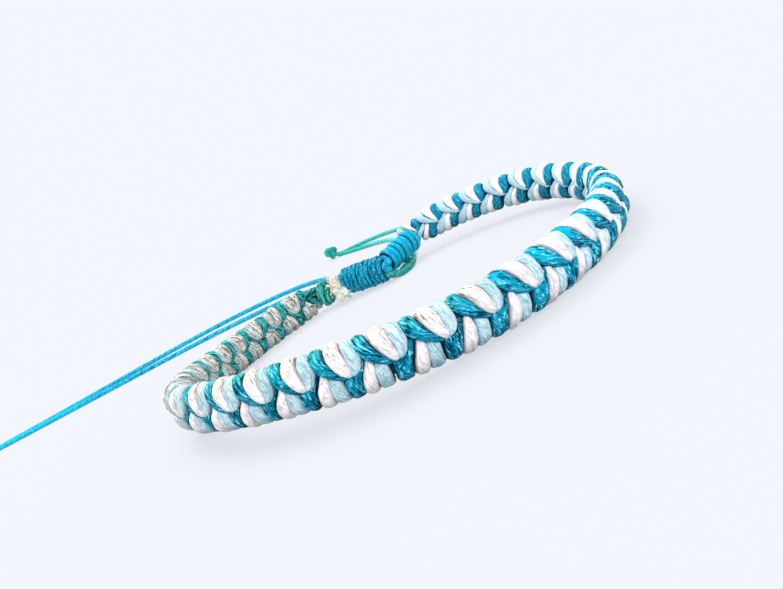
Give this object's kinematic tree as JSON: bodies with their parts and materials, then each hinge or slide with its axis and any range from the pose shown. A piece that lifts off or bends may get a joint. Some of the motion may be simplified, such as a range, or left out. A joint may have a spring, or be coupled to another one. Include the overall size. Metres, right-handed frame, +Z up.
{
  "type": "braided string bracelet",
  "caption": "Adjustable bracelet braided from waxed string, closed by a sliding knot, with two pairs of knotted string tails.",
  "frame": {"origin": "middle of the loop, on the surface that the bracelet lies on", "axes": "+Z up through the wrist opening, +X along the loop's longer way, +Y from the front of the loop towards its sliding knot"},
  "size_m": [0.1343, 0.1068, 0.0074],
  "materials": {
    "teal_string": "waxed twisted polyester string, turquoise, slightly shiny",
    "cream_string": "waxed twisted polyester string, cream white, soiled with small brown specks",
    "pale_string": "waxed twisted polyester string, pale blue",
    "blue_string": "waxed twisted polyester string, bright blue, slightly shiny",
    "green_string": "waxed twisted polyester string, sea green, fading along its length"
  },
  "bodies": {
    "root": {"braided_band": "teal_string", "end_wrap": "green_string", "cut_ends": "cream_string", "sliding_knot": "blue_string", "whipping": "blue_string", "blue_tail_a": "blue_string", "blue_tail_b": "blue_string", "green_tail_a": "green_string", "green_tail_b": "green_string", "blue_end_knot": "blue_string", "green_end_knot": "green_string"}
  },
  "joints": []
}
